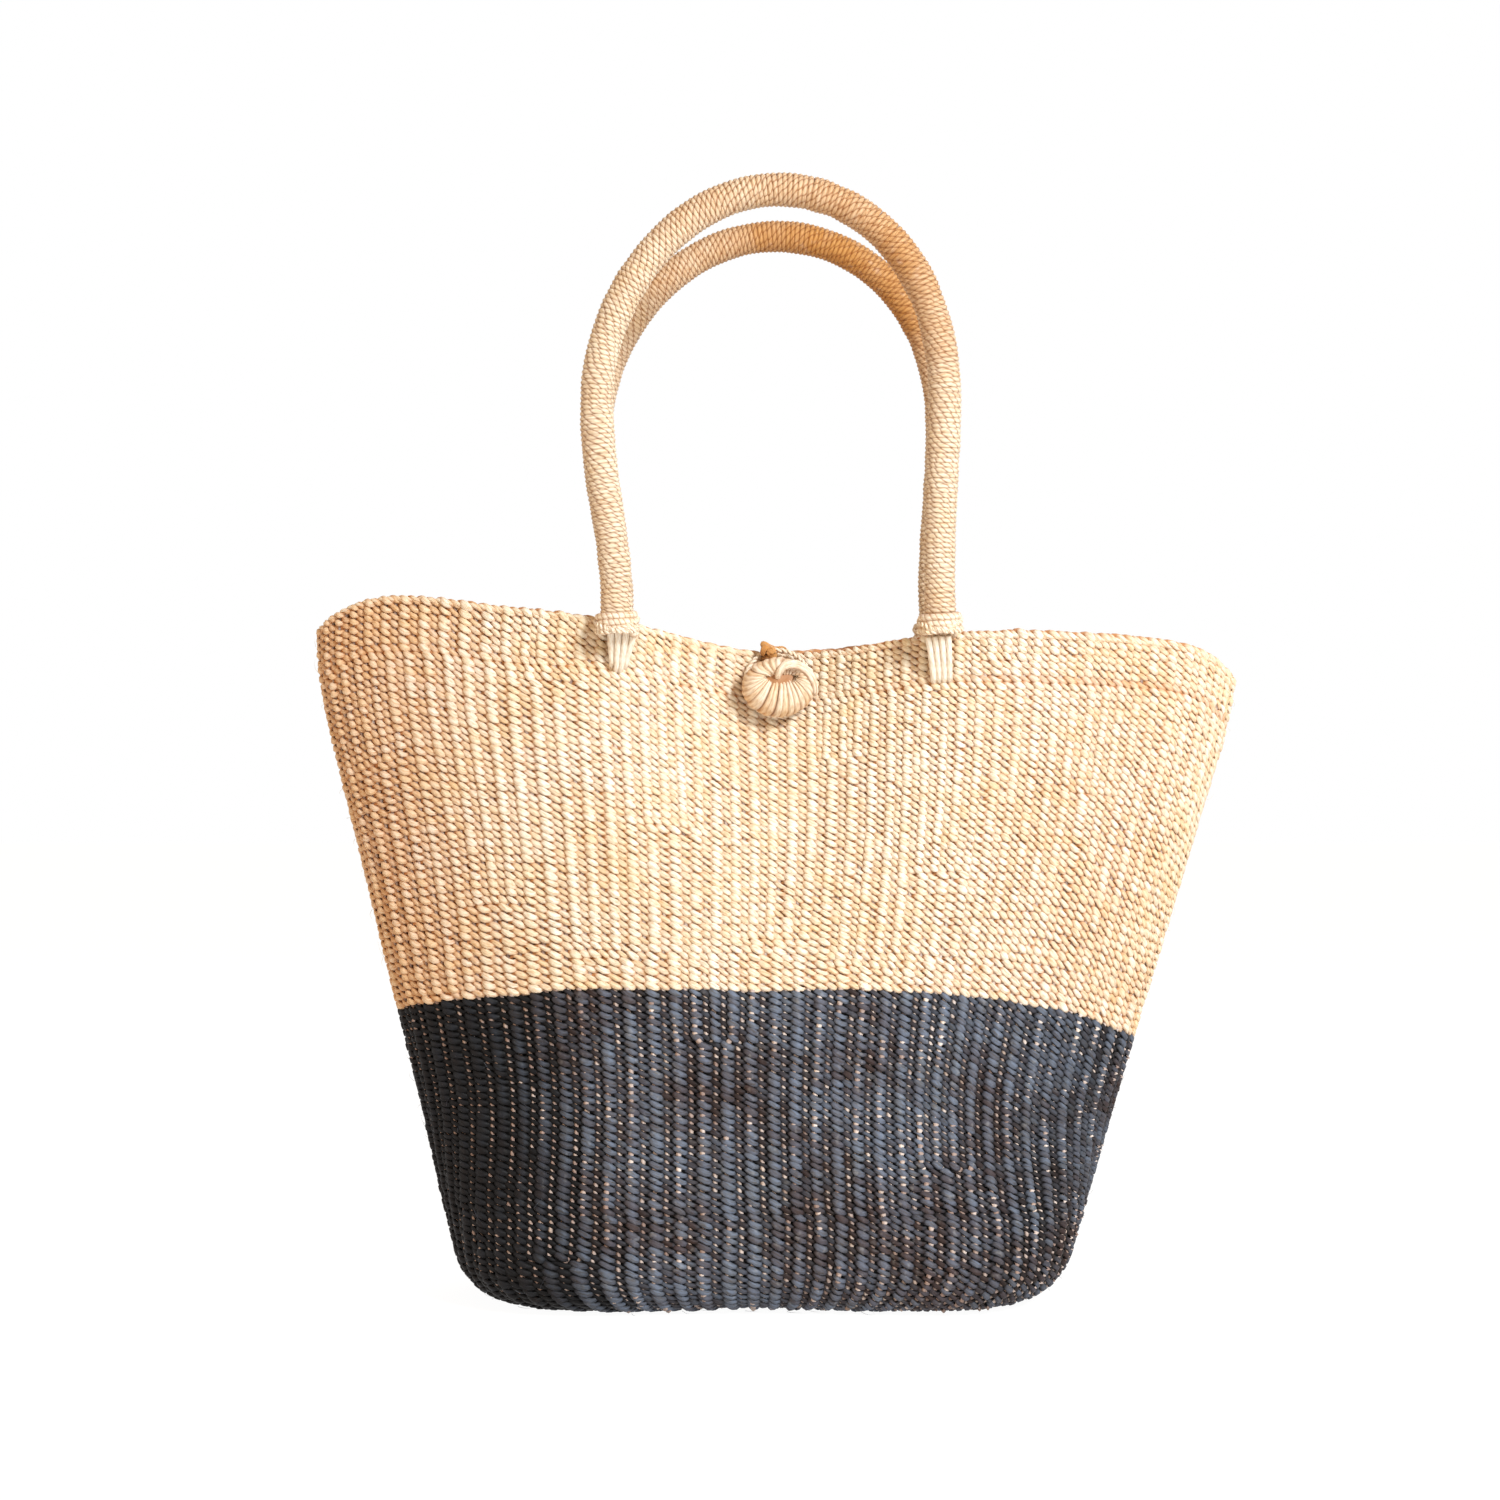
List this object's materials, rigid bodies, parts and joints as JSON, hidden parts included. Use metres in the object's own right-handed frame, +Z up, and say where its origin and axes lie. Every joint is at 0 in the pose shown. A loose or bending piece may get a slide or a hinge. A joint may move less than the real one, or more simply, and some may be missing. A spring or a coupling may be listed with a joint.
{
  "type": "woven market handbag",
  "caption": "Handwoven banana fibre bag with a flared oval body, dark lower band, stiff rope handles, and a knot and loop closure.",
  "frame": {"origin": "on the floor under the middle of the bag's overall box", "axes": "+Z up, the face with the knot towards -Y, +X to the right of someone who faces the knot"},
  "size_m": [0.4766, 0.1508, 0.5711],
  "materials": {
    "pale_fibre": "undyed twined banana fibre, matt with silky streaks",
    "dark_fibre": "blue-black dyed twined banana fibre, matt",
    "handle_cord": "fine two-ply cord wound tightly, satin",
    "core_fibre": "bundled raw fibre, matt",
    "binding_cord": "two-ply sewing cord, matt",
    "knot_cord": "twisted fibre cord, satin"
  },
  "bodies": {
    "root": {"base_panel": "dark_fibre", "lower_wall": "dark_fibre", "upper_wall": "pale_fibre", "rim_band": "pale_fibre", "inner_hem": "pale_fibre", "front_left_anchor": "binding_cord", "front_left_inner_anchor": "binding_cord", "front_right_anchor": "binding_cord", "front_right_inner_anchor": "binding_cord", "back_left_anchor": "binding_cord", "back_left_inner_anchor": "binding_cord", "back_right_anchor": "binding_cord", "back_right_inner_anchor": "binding_cord", "shank_pad": "binding_cord", "loop_tab": "binding_cord", "loop_tab_seam": "binding_cord"},
    "front_handle": {"front_handle_wrap": "handle_cord", "front_handle_core": "core_fibre", "front_handle_left_collar": "binding_cord", "front_handle_right_collar": "binding_cord"},
    "back_handle": {"back_handle_wrap": "handle_cord", "back_handle_core": "core_fibre", "back_handle_left_collar": "binding_cord", "back_handle_right_collar": "binding_cord"},
    "knot": {"closure_knot": "knot_cord", "knot_shank": "knot_cord"},
    "loop": {"closure_loop": "knot_cord"}
  },
  "joints": [
    {"name": "front_handle_swing", "type": "hinge", "parent": "root", "child": "front_handle", "pos_m": [0, -0.04855, 0.344], "axis": [1, 0, 0], "range_deg": [-12, 125]},
    {"name": "back_handle_swing", "type": "hinge", "parent": "root", "child": "back_handle", "pos_m": [0, 0.04921, 0.344], "axis": [-1, 0, 0], "range_deg": [-12, 125]},
    {"name": "loop_swing", "type": "hinge", "parent": "root", "child": "loop", "pos_m": [0, -0.01322, 0.33361], "axis": [-1, 0, 0], "range_deg": [0, 150]},
    {"name": "knot_tilt", "type": "hinge", "parent": "root", "child": "knot", "pos_m": [0, -0.01776, 0.3145], "axis": [1, 0, 0], "range_deg": [-8, 6]}
  ]
}
